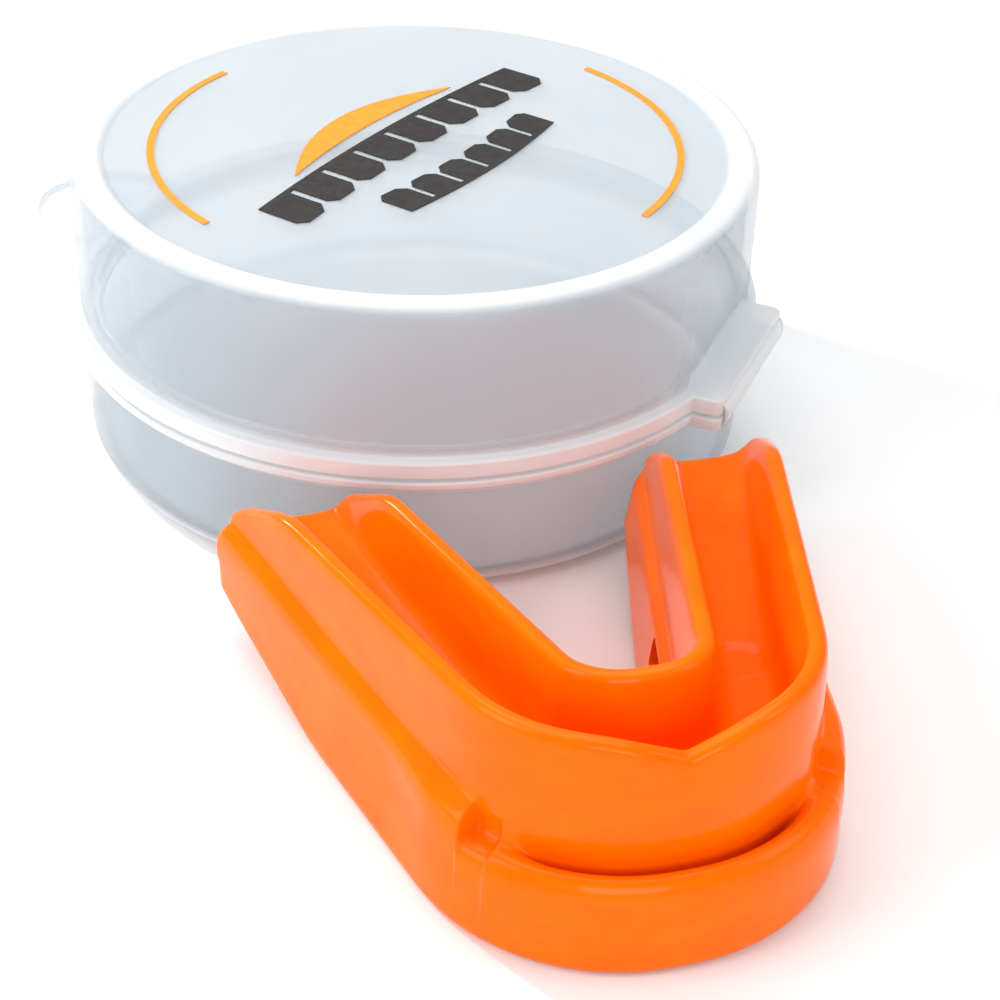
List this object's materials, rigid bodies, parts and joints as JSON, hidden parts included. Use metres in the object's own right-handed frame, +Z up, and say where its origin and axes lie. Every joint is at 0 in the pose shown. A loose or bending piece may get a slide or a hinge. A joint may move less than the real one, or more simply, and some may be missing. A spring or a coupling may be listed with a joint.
{
  "type": "mouthguard with case",
  "caption": "Soft double mouthguard with upper and lower troughs, beside its round frosted case with a film-hinged lid and thumb tab.",
  "frame": {"origin": "centre of the case's flat underside, on the table that the case and the mouthguard both rest on", "axes": "+Z up along the case's axis; -Y towards the viewer, where the mouthguard lies; +X to the viewer's right"},
  "size_m": [0.0988, 0.1438, 0.0375],
  "materials": {
    "base_plastic": "frosted translucent polypropylene, satin",
    "lid_plastic": "frosted translucent polypropylene, satin",
    "orange_eva": "smooth glossy soft EVA",
    "orange_ink": "pad-printed ink",
    "dark_ink": "pad-printed ink"
  },
  "bodies": {
    "case": {"case_base": "base_plastic", "hinge_film": "base_plastic"},
    "lid": {"case_lid": "lid_plastic", "print_arc_left": "orange_ink", "print_arc_right": "orange_ink", "print_gum_arch": "orange_ink", "print_upper_teeth": "dark_ink", "print_lower_teeth": "dark_ink"},
    "mouthguard": {"mouthguard": "orange_eva"}
  },
  "joints": [
    {"name": "lid_hinge", "type": "hinge", "parent": "case", "child": "lid", "pos_m": [0.042, -0.01697, 0.0162], "axis": [0.3746, 0.9272, 0], "range_deg": [0, 120], "deforming": ["hinge_film"]},
    {"name": "mouthguard_lift", "type": "slide", "parent": "case", "child": "mouthguard", "axis": [0, 0, 1], "range_m": [0, 0.12]}
  ]
}
